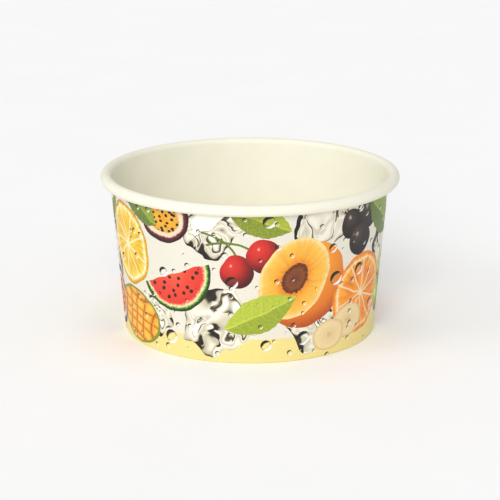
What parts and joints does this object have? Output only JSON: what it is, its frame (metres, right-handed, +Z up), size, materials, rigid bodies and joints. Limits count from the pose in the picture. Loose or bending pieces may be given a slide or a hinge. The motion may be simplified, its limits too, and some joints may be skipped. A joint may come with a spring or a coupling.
{
  "type": "paper dessert cup",
  "caption": "Round, tapered paperboard dessert cup with a rolled rim, a lapped side seam, a folded foot and a recessed bottom.",
  "frame": {"origin": "middle of the foot, on the plane that the cup stands on", "axes": "+Z up along the cup's axis, with the side seam at -X"},
  "size_m": [0.095, 0.095, 0.0515],
  "materials": {
    "printed_board": "white coated board, printed outside, with a soft sheen",
    "bottom_board": "white coated board with a soft sheen"
  },
  "bodies": {
    "root": {"sidewall": "printed_board", "bottom_disc": "bottom_board"}
  },
  "joints": []
}
